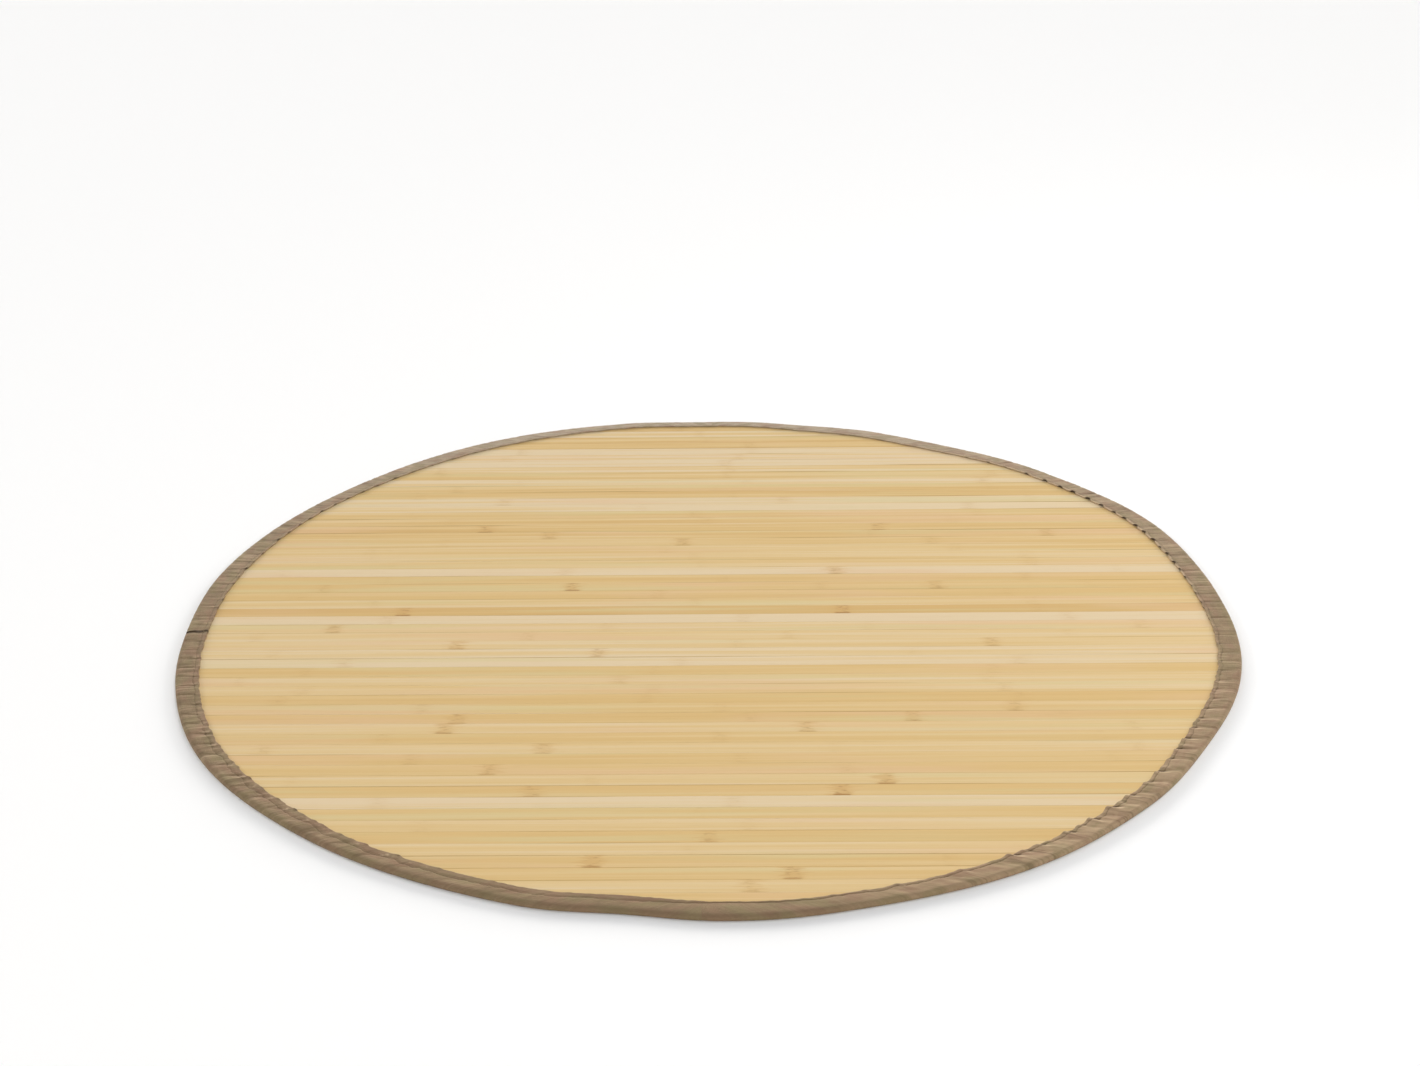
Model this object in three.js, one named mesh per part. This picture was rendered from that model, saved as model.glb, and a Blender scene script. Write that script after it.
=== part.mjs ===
// A round bamboo rug: flat bamboo slats laid side by side on a thin backing cloth, with a strip of
// woven tape folded round the edge. The slats run along X.
// Millimetres, +Z up. The origin is at the middle of the underside.

import * as THREE from 'three';

// Driving sizes
const RUG_RADIUS = 500;
const SLAT_PITCH = 17.3;
const SLAT_GAP = 0.3;
const SLAT_THICKNESS = 2.5;
const SLAT_ROWS = 58;
const BACKING_THICKNESS = 1.0;
const TAPE_THICKNESS = 1.0;
const TAPE_TOP_WIDTH = 22;
const TAPE_UNDER_WIDTH = 20;
const CLEARANCE = 0.3;

// Heights that follow from the layers
const SLAT_BASE = BACKING_THICKNESS + CLEARANCE;
const SLAT_TOP = SLAT_BASE + SLAT_THICKNESS;
const TAPE_CEILING = SLAT_TOP + CLEARANCE;
const TAPE_TOP = TAPE_CEILING + TAPE_THICKNESS;

// Distances in from the tape's outer edge. The end rows keep a little more clear.
const FOLD_WALL = 1.3;
const SLAT_INSET = 3;
const END_ROW_INSET = 4;
const BACKING_INSET = TAPE_UNDER_WIDTH + CLEARANCE;

// Eased long edges of a slat
const SLAT_EASE = 0.5;

// The outside of the fold, from the floor up: how far in from the edge,
// and how high as a share of the whole
const NOSE = [
  { inset: 0.65, share: 0 },
  { inset: 0, share: 0.27 },
  { inset: 0.2, share: 0.74 },
  { inset: 2.5, share: 1 },
];

// Where the edge wanders from a true circle, in degrees from +X round through +Y.
// Each swell is a smooth bump: its middle, its half width, and how far out it stands, or in if minus.
const SWELLS = [
  { at: 3, half: 8, out: -1.2 },
  { at: 25, half: 17, out: 6 },
  { at: 60, half: 16, out: -6 },
  { at: 78, half: 12, out: -7 },
  { at: 91, half: 10, out: -5.5 },
  { at: 120, half: 26, out: 6.6 },
  { at: 182, half: 14, out: -3 },
  { at: 211, half: 20, out: 4.3 },
  { at: 246, half: 16, out: -1.8 },
  { at: 263, half: 9, out: -5.5 },
  { at: 277, half: 8, out: 1.5 },
  { at: 301, half: 16, out: 3 },
  { at: 330, half: 13, out: -3.7 },
  { at: 348, half: 10, out: 1.2 },
];

// Where the tape is rucked up between the slat joints, and by how much more than its usual small rise.
const USUAL_RISE = 0.35;
const RUCKS = [
  { at: 200, half: 24, rise: 0.3 },
  { at: 228, half: 16, rise: 0.45 },
  { at: 316, half: 30, rise: 0.75 },
  { at: 345, half: 20, rise: 0.3 },
];

// Long shallow folds that run with the tape on the front stretch,
// as extra height at the middle of its width.
const LONG_FOLDS = [
  { at: 258, half: 12, rise: 0.5 },
  { at: 282, half: 10, rise: 0.3 },
];

// How much further in the tape reaches over the middle of a slat than over a joint
const SCALLOP = 0.9;

// Where each joint gathers the hem into a tooth, and how far in the tooth reaches.
const TEETH = [
  { at: 228, half: 30, deep: 1.0 },
  { at: 318, half: 40, deep: 2.4 },
];

// The hem: its raw edge is turned under, so it stands a little higher, and the seam beside it is sunk.
const HEM_LIFT = 0.25;
const SEAM_SINK = 0.35;
const SEAM_HALF = 0.9;
const HEM_WIDTH = 3.4;
const HEM_CHANGES = [
  { at: 236, half: 40, more: 4.0 },
  { at: 262, half: 9, more: 2.5 },
];

// The tape's two ends meet here, a little apart.
const TAPE_JOINT = 183.8;
const JOINT_GAP = 1.0;

// Where the tape was folded off its middle, so that more of it, or less where it is minus, lies on top.
const WIDTHS = [
  { at: 15, half: 30, more: 2 },
  { at: 65, half: 25, more: 4 },
  { at: 125, half: 32, more: 4.5 },
  { at: 165, half: 22, more: 3 },
  { at: 195, half: 20, more: 1 },
  { at: 230, half: 22, more: -2 },
  { at: 286, half: 14, more: -3.5 },
  { at: 315, half: 28, more: -2.8 },
];

// Tape stations: on the left and right the tape crosses the joints, so each slat gets three of its own.
// along is counted in slats from a joint. ridge is 0 over the joint and 1 over the flat of the slat,
// and tooth is 1 at the tip of a tooth.
const SIDE_ROWS = 25;
const SLAT_STATIONS = [
  { along: 0, ridge: 0, tooth: 0 },
  { along: 0.22, ridge: 1, tooth: 0.2 },
  { along: 0.82, ridge: 1, tooth: 1 },
];
const END_STATIONS = 60;
const END_RIDGE = 0.5;
const BACKING_POINTS = 120;

const BACKING_COLOUR = 0xb9ad98;
const TAPE_COLOUR = 0x8d7a62;
const CLOTH_ROUGHNESS = 0.92;
const SLAT_ROUGHNESS = 0.45;
const SLAT_TONES = {
  pale: 0xd8c4a0,
  sand: 0xd2b98c,
  honey: 0xcbab78,
  deep: 0xc2a069,
};

// Slat tones by row counted from the rug's middle line: row 0 is just behind it.
// A run holds until the next one starts.
const TONE_RUNS = [
  { from: -29, tone: 'honey' },
  { from: -20, tone: 'pale' },
  { from: -19, tone: 'honey' },
  { from: -14, tone: 'sand' },
  { from: -12, tone: 'honey' },
  { from: -9, tone: 'sand' },
  { from: -6, tone: 'pale' },
  { from: -5, tone: 'sand' },
  { from: -1, tone: 'pale' },
  { from: 0, tone: 'deep' },
  { from: 1, tone: 'sand' },
  { from: 2, tone: 'honey' },
  { from: 6, tone: 'sand' },
  { from: 9, tone: 'honey' },
  { from: 15, tone: 'pale' },
  { from: 16, tone: 'honey' },
  { from: 18, tone: 'pale' },
  { from: 19, tone: 'honey' },
  { from: 20, tone: 'sand' },
  { from: 24, tone: 'honey' },
];

const FULL_TURN = 360;
const BACK = 90;
const FRONT = 270;
const SEARCH_STEP = 0.001;

// Height of a smooth bump at the given angle: 1 at its middle, 0 from its half width on.
function bump(degrees, at, half) {
  const turn = THREE.MathUtils.euclideanModulo(degrees - at + FULL_TURN / 2, FULL_TURN) - FULL_TURN / 2;
  return Math.abs(turn) < half ? (1 + Math.cos(Math.PI * turn / half)) / 2 : 0;
}

function sumOf(table, column, degrees) {
  return table.reduce((sum, row) => sum + row[column] * bump(degrees, row.at, row.half), 0);
}

// Distance from the middle to the outside of the edge tape
function edgeRadius(degrees) {
  return RUG_RADIUS + sumOf(SWELLS, 'out', degrees);
}

function edgePoint(degrees, inset) {
  const radius = edgeRadius(degrees) - inset;
  const angle = THREE.MathUtils.degToRad(degrees);
  return new THREE.Vector2(radius * Math.cos(angle), radius * Math.sin(angle));
}

function degreesOf(x, y) {
  return THREE.MathUtils.radToDeg(Math.atan2(y, x));
}

// How far a line along X at height y can run, to the side +1 or -1, before it is `inset` from the edge
function chordEnd(y, side, inset) {
  let inside = 0;
  let outside = RUG_RADIUS * 2;
  while (outside - inside > SEARCH_STEP) {
    const x = (inside + outside) / 2;
    const fits = Math.hypot(x, y) <= edgeRadius(degreesOf(side * x, y)) - inset;
    if (fits) inside = x;
    else outside = x;
  }
  return side * inside;
}

function toneOf(row) {
  const run = TONE_RUNS.filter(({ from }) => from <= row).at(-1);
  return SLAT_TONES[run.tone];
}

// One slat, cut off at both ends along the edge. The outermost rows are cut lengthwise as well.
function makeSlat(row) {
  const front = Math.max(row * SLAT_PITCH + SLAT_GAP / 2, END_ROW_INSET - edgeRadius(FRONT));
  const back = Math.min((row + 1) * SLAT_PITCH - SLAT_GAP / 2, edgeRadius(BACK) - END_ROW_INSET);
  const middle = (front + back) / 2;
  const shape = new THREE.Shape([
    new THREE.Vector2(chordEnd(front, -1, SLAT_INSET), front - middle),
    new THREE.Vector2(chordEnd(front, 1, SLAT_INSET), front - middle),
    new THREE.Vector2(chordEnd(back, 1, SLAT_INSET), back - middle),
    new THREE.Vector2(chordEnd(back, -1, SLAT_INSET), back - middle),
  ]);
  const geometry = new THREE.ExtrudeGeometry(shape, {
    depth: SLAT_THICKNESS - 2 * SLAT_EASE,
    bevelThickness: SLAT_EASE,
    bevelSize: SLAT_EASE,
    bevelOffset: -SLAT_EASE,
    bevelSegments: 1,
  });
  const slat = new THREE.Mesh(geometry, new THREE.MeshStandardMaterial({
    color: toneOf(row),
    roughness: SLAT_ROUGHNESS,
    metalness: 0,
  }));
  slat.name = `slat_${String(row + SLAT_ROWS / 2 + 1).padStart(2, '0')}`;
  slat.position.set(0, middle, SLAT_BASE + SLAT_EASE);
  return slat;
}

function makeBacking() {
  const points = [];
  for (let i = 0; i < BACKING_POINTS; i += 1) {
    points.push(edgePoint(i * FULL_TURN / BACKING_POINTS, BACKING_INSET));
  }
  const geometry = new THREE.ExtrudeGeometry(new THREE.Shape(points), {
    depth: BACKING_THICKNESS,
    bevelEnabled: false,
  });
  const backing = new THREE.Mesh(geometry, new THREE.MeshStandardMaterial({
    color: BACKING_COLOUR,
    roughness: CLOTH_ROUGHNESS,
    metalness: 0,
  }));
  backing.name = 'backing';
  return backing;
}

// Stations up one side of the tape, from the lowest row to the highest, or back down on the left
function sideStations(side) {
  const stations = [];
  for (let row = -SIDE_ROWS; row < SIDE_ROWS; row += 1) {
    for (const { along, ridge, tooth } of SLAT_STATIONS) {
      const y = (row + along) * SLAT_PITCH;
      stations.push({ degrees: degreesOf(chordEnd(y, side, 0), y), ridge, tooth });
    }
  }
  const last = SIDE_ROWS * SLAT_PITCH;
  stations.push({ degrees: degreesOf(chordEnd(last, side, 0), last), ridge: 0, tooth: 0 });
  return side > 0 ? stations : stations.reverse();
}

// The stretches across the back and front, where the tape runs almost along the slats
function endStations(from, to) {
  const sweep = THREE.MathUtils.euclideanModulo(to - from, FULL_TURN);
  const stations = [];
  for (let i = 1; i < END_STATIONS; i += 1) {
    const share = i / END_STATIONS;
    const ridge = Math.sin(Math.PI * share) * END_RIDGE;
    stations.push({ degrees: from + sweep * share, ridge, tooth: 0 });
  }
  return stations;
}

// All stations in order round the rug, from one end of the tape to the other
function tapeStations() {
  const right = sideStations(1);
  const left = sideStations(-1);
  const back = endStations(right.at(-1).degrees, left[0].degrees);
  const front = endStations(left.at(-1).degrees, right[0].degrees);
  const halfGap = THREE.MathUtils.radToDeg(JOINT_GAP / 2 / RUG_RADIUS);
  const past = ({ degrees }) => THREE.MathUtils.euclideanModulo(degrees - TAPE_JOINT, FULL_TURN);
  const inside = [...right, ...back, ...left, ...front]
    .filter((station) => past(station) > 2 * halfGap && past(station) < FULL_TURN - 2 * halfGap)
    .sort((a, b) => past(a) - past(b));
  return [
    { degrees: TAPE_JOINT + halfGap, ridge: 0.4, tooth: 0 },
    ...inside,
    { degrees: TAPE_JOINT - halfGap, ridge: 0.4, tooth: 0 },
  ];
}

// The folded tape's section at one station: how far in from the edge, and how high
function tapeSection({ degrees, ridge, tooth }) {
  const rise = ridge * (USUAL_RISE + sumOf(RUCKS, 'rise', degrees));
  const fold = sumOf(LONG_FOLDS, 'rise', degrees);
  const gathered = tooth * sumOf(TEETH, 'deep', degrees);
  const reach = TAPE_TOP_WIDTH + sumOf(WIDTHS, 'more', degrees) + SCALLOP * ridge + gathered;
  const seam = reach - HEM_WIDTH - sumOf(HEM_CHANGES, 'more', degrees);
  return [
    { inset: reach, z: TAPE_CEILING },
    { inset: FOLD_WALL, z: TAPE_CEILING },
    { inset: FOLD_WALL, z: TAPE_THICKNESS },
    { inset: TAPE_UNDER_WIDTH, z: TAPE_THICKNESS },
    { inset: TAPE_UNDER_WIDTH, z: 0 },
    ...NOSE.map(({ inset, share }) => ({ inset, z: TAPE_TOP * share })),
    { inset: reach / 2, z: TAPE_TOP + rise + fold },
    { inset: seam - SEAM_HALF, z: TAPE_TOP + rise },
    { inset: seam, z: TAPE_TOP + rise - SEAM_SINK },
    { inset: seam + SEAM_HALF, z: TAPE_TOP + rise + HEM_LIFT },
    { inset: reach, z: TAPE_TOP + rise },
  ];
}

// Triangles that close a cut end, each turning the same way as the section itself
function capTriangles(section) {
  const outline = section.map(({ inset, z }) => new THREE.Vector2(inset, z));
  const turning = Math.sign(THREE.ShapeUtils.area(outline));
  return THREE.ShapeUtils.triangulateShape(outline, []).map(([a, b, c]) => {
    const turns = Math.sign(THREE.ShapeUtils.area([outline[a], outline[b], outline[c]]));
    return turns === turning ? [a, b, c] : [a, c, b];
  });
}

function makeBinding() {
  const stations = tapeStations();
  const positions = [];
  for (const station of stations) {
    for (const { inset, z } of tapeSection(station)) {
      const { x, y } = edgePoint(station.degrees, inset);
      positions.push(x, y, z);
    }
  }
  const around = tapeSection(stations[0]).length;
  const index = [];
  for (let s = 0; s + 1 < stations.length; s += 1) {
    const here = s * around;
    const next = here + around;
    for (let p = 0; p < around; p += 1) {
      const q = (p + 1) % around;
      index.push(here + p, next + q, here + q);
      index.push(here + p, next + p, next + q);
    }
  }
  index.push(...capTriangles(tapeSection(stations[0])).flat());
  const last = (stations.length - 1) * around;
  const farCap = capTriangles(tapeSection(stations.at(-1)));
  index.push(...farCap.flat().reverse().map((point) => last + point));
  const geometry = new THREE.BufferGeometry();
  geometry.setAttribute('position', new THREE.Float32BufferAttribute(positions, 3));
  geometry.setIndex(index);
  geometry.computeVertexNormals();
  const binding = new THREE.Mesh(geometry, new THREE.MeshStandardMaterial({
    color: TAPE_COLOUR,
    roughness: CLOTH_ROUGHNESS,
    metalness: 0,
  }));
  binding.name = 'binding';
  return binding;
}

const slats = new THREE.Group();
for (let row = -SLAT_ROWS / 2; row < SLAT_ROWS / 2; row += 1) {
  slats.add(makeSlat(row));
}

const rug = new THREE.Group();
rug.add(slats, makeBacking(), makeBinding());

export default rug;
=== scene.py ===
# %% [markdown]
# # A round bamboo rug
# The rug is a metre across. Flat bamboo slats lie side by side on a thin cloth, and a strip of
# woven tape is folded round the edge and sewn down. This lesson dresses it piece by piece.
#
# The solids were made first and are loaded as a fixed frame. Every size below is read from that
# frame or is a named value, so each piece lies where its solid is. The tape's own sizes are in
# millimetres and all others in metres.

# %% Load the frame
import math

import bmesh
import bpy
import numpy as np
from mathutils import Matrix, Vector


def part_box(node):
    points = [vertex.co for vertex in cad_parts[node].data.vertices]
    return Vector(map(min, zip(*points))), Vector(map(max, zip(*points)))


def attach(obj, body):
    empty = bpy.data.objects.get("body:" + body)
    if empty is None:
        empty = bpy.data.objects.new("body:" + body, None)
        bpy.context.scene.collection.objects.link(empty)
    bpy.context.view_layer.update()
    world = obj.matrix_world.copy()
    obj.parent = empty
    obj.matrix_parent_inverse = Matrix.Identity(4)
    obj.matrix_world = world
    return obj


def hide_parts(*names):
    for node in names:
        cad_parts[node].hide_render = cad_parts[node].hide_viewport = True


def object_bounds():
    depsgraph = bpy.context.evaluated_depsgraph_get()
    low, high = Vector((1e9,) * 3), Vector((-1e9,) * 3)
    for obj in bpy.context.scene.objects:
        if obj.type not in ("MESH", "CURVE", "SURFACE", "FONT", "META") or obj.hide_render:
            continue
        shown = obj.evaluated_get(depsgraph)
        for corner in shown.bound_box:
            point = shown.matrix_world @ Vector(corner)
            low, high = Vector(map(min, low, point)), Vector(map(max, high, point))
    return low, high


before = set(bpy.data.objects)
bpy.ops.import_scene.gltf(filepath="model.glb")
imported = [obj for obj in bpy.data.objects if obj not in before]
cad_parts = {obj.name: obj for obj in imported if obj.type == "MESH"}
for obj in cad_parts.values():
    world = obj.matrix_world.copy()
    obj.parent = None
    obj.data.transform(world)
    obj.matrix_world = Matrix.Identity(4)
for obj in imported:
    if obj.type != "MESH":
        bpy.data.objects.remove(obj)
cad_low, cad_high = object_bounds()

MM = 0.001


def put(name, data):
    """A new object at the origin of the scene."""
    thing = bpy.data.objects.new(name, data)
    bpy.context.scene.collection.objects.link(thing)
    return thing


print("frame:", len(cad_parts), "nodes, box", [round(v, 4) for v in (*cad_low, *cad_high)])

# %% [markdown]
# ## The camera
# The photograph looks down at the rug at about 25 degrees. Its focal length, distance and slight
# roll come from the ellipse of the edge: the far half of a circle looks shorter than the near half,
# and by how much tells the distance. The slats also lie turned by a little under a degree, so the
# camera stands turned by as much, and the slats can stay along X.

# %% Place the camera
PHOTO_WIDTH = 1420
FOCAL_PIXELS = 2128
SENSOR_MM = 36
LOOK_DOWN = math.radians(24.86)
DISTANCE = 2.225
ROLL = math.radians(-0.736)
TURN = math.radians(0.8)
AIM = Vector((0.0035, 0.1935, 0))

turn = Matrix.Rotation(TURN, 3, "Z")
towards_camera = turn @ Vector((0, -math.cos(LOOK_DOWN), math.sin(LOOK_DOWN)))
level_right = turn @ Vector((1, 0, 0))
level_up = level_right.cross(-towards_camera)
right = level_right * math.cos(ROLL) + level_up * math.sin(ROLL)
up = level_up * math.cos(ROLL) - level_right * math.sin(ROLL)

camera_data = bpy.data.cameras.new("camera")
camera_data.sensor_width = SENSOR_MM
camera_data.lens = FOCAL_PIXELS / PHOTO_WIDTH * SENSOR_MM
camera = put("camera", camera_data)
place = turn @ AIM + towards_camera * DISTANCE
camera.matrix_world = Matrix((right, up, towards_camera)).transposed().to_4x4()
camera.location = place
bpy.context.scene.camera = camera
print("camera: lens", round(camera_data.lens, 2), "mm, at", [round(v, 3) for v in place])

# %% [markdown]
# ## Reading the rug's shape from its solids
# The edge wanders a few millimetres from a true circle, and more of the tape lies on top in some
# places than in others. Both can be read from the tape's solid: the points round the outside give
# the edge's radius at any angle, and the points of its inner rim say how far in the tape reaches.

# %% Read the edge and the layers
def corners(node):
    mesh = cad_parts[node].data
    found = np.empty(len(mesh.vertices) * 3)
    mesh.vertices.foreach_get("co", found)
    return found.reshape(-1, 3)


def by_angle(points):
    """Radius round the rug, as a function of the angle in degrees."""
    angle = np.degrees(np.arctan2(points[:, 1], points[:, 0])) % 360
    radius = np.hypot(points[:, 0], points[:, 1])
    order = np.argsort(angle)
    return lambda degrees: np.interp(degrees, angle[order], radius[order], period=360)


SLATS = sorted(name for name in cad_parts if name.startswith("slat_"))
SLAT_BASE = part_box(SLATS[0])[0].z
SLAT_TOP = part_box(SLATS[0])[1].z
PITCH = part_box(SLATS[2])[0].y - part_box(SLATS[1])[0].y
BACKING_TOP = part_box("backing")[1].z

NOSE_DEPTH = 15 * MM
NOSE_LEVEL = 1.4 * MM
RIM_LEVEL = SLAT_TOP + 0.3 * MM

tape_points = corners("binding")
tape_radius = np.hypot(tape_points[:, 0], tape_points[:, 1])
near_edge = tape_radius > cad_high.x - NOSE_DEPTH
widest = np.abs(tape_points[:, 2] - NOSE_LEVEL) < 0.2 * MM
edge_radius = by_angle(tape_points[near_edge & widest])
at_rim = np.abs(tape_points[:, 2] - RIM_LEVEL) < 0.05 * MM
rim_radius = by_angle(tape_points[at_rim & ~near_edge])
print("slats:", len(SLATS), "at", round(PITCH / MM, 2), "mm,",
      "from", round(SLAT_BASE / MM, 2), "to", round(SLAT_TOP / MM, 2))
print("edge and rim at 0 degrees:", [round(float(r(0)), 4) for r in (edge_radius, rim_radius)])

# %% [markdown]
# ## A bench for nodes
# Shaders and Geometry Nodes are both trees of small steps. Written out step by step they fill
# pages, so one small helper adds a node, sets or links its sockets, and hands back its output for
# the next step.

# %% The node bench
class Bench:
    def __init__(self, tree):
        self.tree = tree

    def add(self, kind, sockets=None, out=0, **settings):
        node = self.tree.nodes.new(kind)
        for name, value in settings.items():
            setattr(node, name, value)
        for name, value in (sockets or {}).items():
            if isinstance(value, bpy.types.NodeSocket):
                self.link(value, node.inputs[name])
            else:
                node.inputs[name].default_value = value
        return node.outputs[out]

    def geometry(self, kind, sockets=None, **settings):
        return self.add("GeometryNode" + kind, sockets, **settings)

    def math(self, operation, a, b=0.0, c=0.0):
        return self.add("ShaderNodeMath", {0: a, 1: b, 2: c}, operation=operation)

    def times(self, a, b):
        return self.math("MULTIPLY", a, b)

    def combine(self, x, y, z):
        return self.add("ShaderNodeCombineXYZ", {0: x, 1: y, 2: z})

    def noise(self, x, y, z, detail=2.0):
        where = self.combine(x, y, z)
        return self.add("ShaderNodeTexNoise", {"Vector": where, "Scale": 1.0, "Detail": detail})

    def ramp(self, value, low, high, to_low=0.0, to_high=1.0):
        """A soft step: to_low below low, to_high above high."""
        sockets = {"Value": value, 1: low, 2: high, 3: to_low, 4: to_high}
        return self.add("ShaderNodeMapRange", sockets, interpolation_type="SMOOTHSTEP")

    def mix(self, share, a, b):
        return self.add("ShaderNodeMix", {0: share, 6: a, 7: b}, out=2, data_type="RGBA")

    def attribute(self, name):
        return self.add("ShaderNodeAttribute", out="Fac", attribute_name=name)

    def place(self):
        """The three object coordinates."""
        where = self.add("ShaderNodeTexCoord", out="Object")
        return self.add("ShaderNodeSeparateXYZ", {0: where}).node.outputs

    def link(self, value, socket):
        self.tree.links.new(value, socket)


STUDIO_LEVEL = 1.15


def colour(red, green, blue):
    """A colour named by its screen values from 0 to 255, as the linear light that shaders use."""
    screen = np.array([red, green, blue]) / 255
    linear = np.where(screen < 0.04045, screen / 12.92, ((screen + 0.055) / 1.055) ** 2.4)
    return (*linear.tolist(), 1.0)


def seen(red, green, blue):
    """The paint that shows as this colour under a light that lifts white to STUDIO_LEVEL."""
    linear = colour(red, green, blue)
    return (*(part / STUDIO_LEVEL for part in linear[:3]), 1.0)


def new_material(name, **finish):
    """A material with its principled shader's own sockets set, and a bench to build the rest on."""
    material = bpy.data.materials.new(name)
    material.use_nodes = True
    shader = material.node_tree.nodes["Principled BSDF"]
    for socket, value in finish.items():
        shader.inputs[socket.replace("_", " ")].default_value = value
    return material, shader, Bench(material.node_tree)


# %% [markdown]
# ## The slats: one section swept along 58 straight lines
# A bamboo slat is a flat strip planed from the wall of a cane. Its long edges are eased, its face
# is a little crowned, and every 25 to 35 centimetres it crosses a knuckle of the cane. Planing
# leaves little of a knuckle: a ridge of a few hundredths of a millimetre and a soft warm patch.
# Modelling 58 boxes by hand would be slow, and all of them alike. A rule suits it better: draw one
# line for each slat, give every point on it the numbers that make that place different, and let
# Geometry Nodes sweep the same section along all of them.
#
# The tones below are named from the photograph, from the front of the rug to the back. Row 0
# is just behind the middle. A tone holds until the next row that is listed. Knuckles that stand out
# are listed too, and a rule adds the fainter ones that a cane has before and after them.

# %% Tones and knuckles
TONES = {"pale": 0.0, "sand": 0.32, "honey": 0.62, "deep": 1.0}
TONE_RUNS = [
    (-29, "honey"), (-27, "sand"), (-26, "honey"), (-24, "sand"), (-23, "honey"), (-22, "sand"),
    (-21, "honey"), (-20, "pale"), (-19, "honey"), (-18, "sand"), (-17, "honey"), (-15, "sand"),
    (-14, "honey"), (-13, "sand"), (-12, "honey"), (-11, "sand"), (-10, "honey"), (-9, "sand"),
    (-7, "honey"), (-6, "pale"), (-5, "sand"), (-1, "pale"), (0, "deep"), (1, "sand"), (2, "honey"),
    (5, "pale"), (6, "sand"), (8, "honey"), (14, "pale"), (16, "honey"), (18, "pale"),
    (19, "honey"), (20, "sand"), (21, "pale"), (24, "honey"), (26, "sand"), (27, "honey"),
]

# Each knuckle: the slat's row, the place along it in millimetres, and how strong it is
KNUCKLES = [
    (-27, 38, 0.5), (-26, 70, 0.8), (-25, -86, 0.8), (-23, 5, 0.5), (-19, -142, 0.6),
    (-19, 114, 1.0), (-18, 152, 0.9), (-17, -182, 0.6), (-15, -138, 0.5), (-13, -227, 0.8),
    (-13, 89, 0.6), (-12, -218, 0.6), (-12, 182, 0.6), (-11, 273, 0.5), (-5, -101, 0.5),
    (-4, -234, 0.7), (-4, 266, 0.5), (-2, -356, 0.6), (0, -294, 1.0), (0, 130, 1.0), (3, -134, 0.9),
    (3, 225, 0.6), (5, 127, 0.6), (9, -27, 0.6), (10, -166, 0.6), (10, 350, 0.5), (11, -234, 0.8),
    (11, 176, 0.6),
]
INTERNODE = (250 * MM, 350 * MM)
INTERNODE_STRAY = 6 * MM
FAINT = (0.06, 0.28)


def tone_of(row):
    return TONES[[name for start, name in TONE_RUNS if start <= row][-1]]


def knuckles_of(row, low, high, rng):
    """The listed knuckles of a slat, and the fainter ones before and after them."""
    listed = [(x * MM, strength) for at, x, strength in KNUCKLES if at == row]
    start = listed[0][0] if listed else rng.uniform(*INTERNODE)
    step = rng.uniform(*INTERNODE)
    regular = start + step * np.arange(-4, 5) + rng.normal(0, INTERNODE_STRAY, 9)
    alone = [x for x in regular if all(abs(x - other) > 0.4 * step for other, _ in listed)]
    faint = [(x, rng.uniform(*FAINT)) for x in alone]
    return sorted((x, strength) for x, strength in listed + faint if low < x < high)


# %% [markdown]
# Each line runs down the middle of its slat. Straight stretches need few points, and a knuckle
# needs a cluster of them. At the ends the slat was cut along the curve of the rug, so an end point
# also carries a lean: how far the cut runs along the slat for each metre across it.

# %% Lines for the slats
CLUSTER = np.array([-40, -9, -5, -3, -1.5, 0, 1.5, 3, 5, 9, 40]) * MM
LONGEST_STEP = 90 * MM
END_MARGIN = 2 * MM
KNUCKLE_LIFT = 0.06 * MM
KNUCKLE_HALF = 3.4 * MM
NOTICED = 40 * MM
SLAT_WIDTH = 17 * MM
# For chance: how much fuller a slat is than its solid, how it sits, how far its tone strays
FULLER = (0.009, 0.0165)
SEATED = (-0.05 * MM, 0.03 * MM)
TONE_STRAY = 0.07


def slat_line(node, rng):
    """Points along one slat, as a dict of columns."""
    low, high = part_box(node)
    points = corners(node)
    front = points[points[:, 1] < low.y + 0.05 * MM, 0]
    back = points[points[:, 1] > high.y - 0.05 * MM, 0]
    middle = (low.y + high.y) / 2
    row = math.floor(middle / PITCH)
    inner_low = max(front.min(), back.min()) + END_MARGIN
    inner_high = min(front.max(), back.max()) - END_MARGIN
    knuckles = knuckles_of(row, inner_low + NOTICED, inner_high - NOTICED, rng)
    inside = [x + step for x, _ in knuckles for step in CLUSTER]
    inside += list(np.arange(inner_low, inner_high, LONGEST_STEP))
    inside = np.unique(np.round([x for x in inside if inner_low < x < inner_high], 4))
    ends = (front.min() + back.min()) / 2, (front.max() + back.max()) / 2
    x = np.concatenate([ends[:1], inside, ends[1:]])
    lean = np.zeros(len(x))
    lean[0] = (back.min() - front.min()) / (high.y - low.y)
    lean[-1] = (back.max() - front.max()) / (high.y - low.y)
    far = np.full(len(x), NOTICED)
    strong = np.zeros(len(x))
    for at, strength in knuckles:
        near = np.abs(x - at) < far
        far[near] = np.abs(x - at)[near]
        strong[np.abs(x - at) <= NOTICED + MM] = strength
    fuller = rng.uniform(*FULLER)
    low_ridge = strong * KNUCKLE_LIFT * np.exp(-(far / KNUCKLE_HALF) ** 2)
    return {
        "x": x,
        "middle": np.full(len(x), middle),
        "lean": lean,
        "lift": low_ridge + rng.uniform(*SEATED),
        "spread": np.full(len(x), (high.y - low.y) / SLAT_WIDTH * (1 + fuller)),
        "from_knuckle": far,
        "knuckle": strong,
        "tone": np.full(len(x), tone_of(row) + rng.normal(0, TONE_STRAY)),
        "row": np.full(len(x), float(row)),
    }


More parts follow.
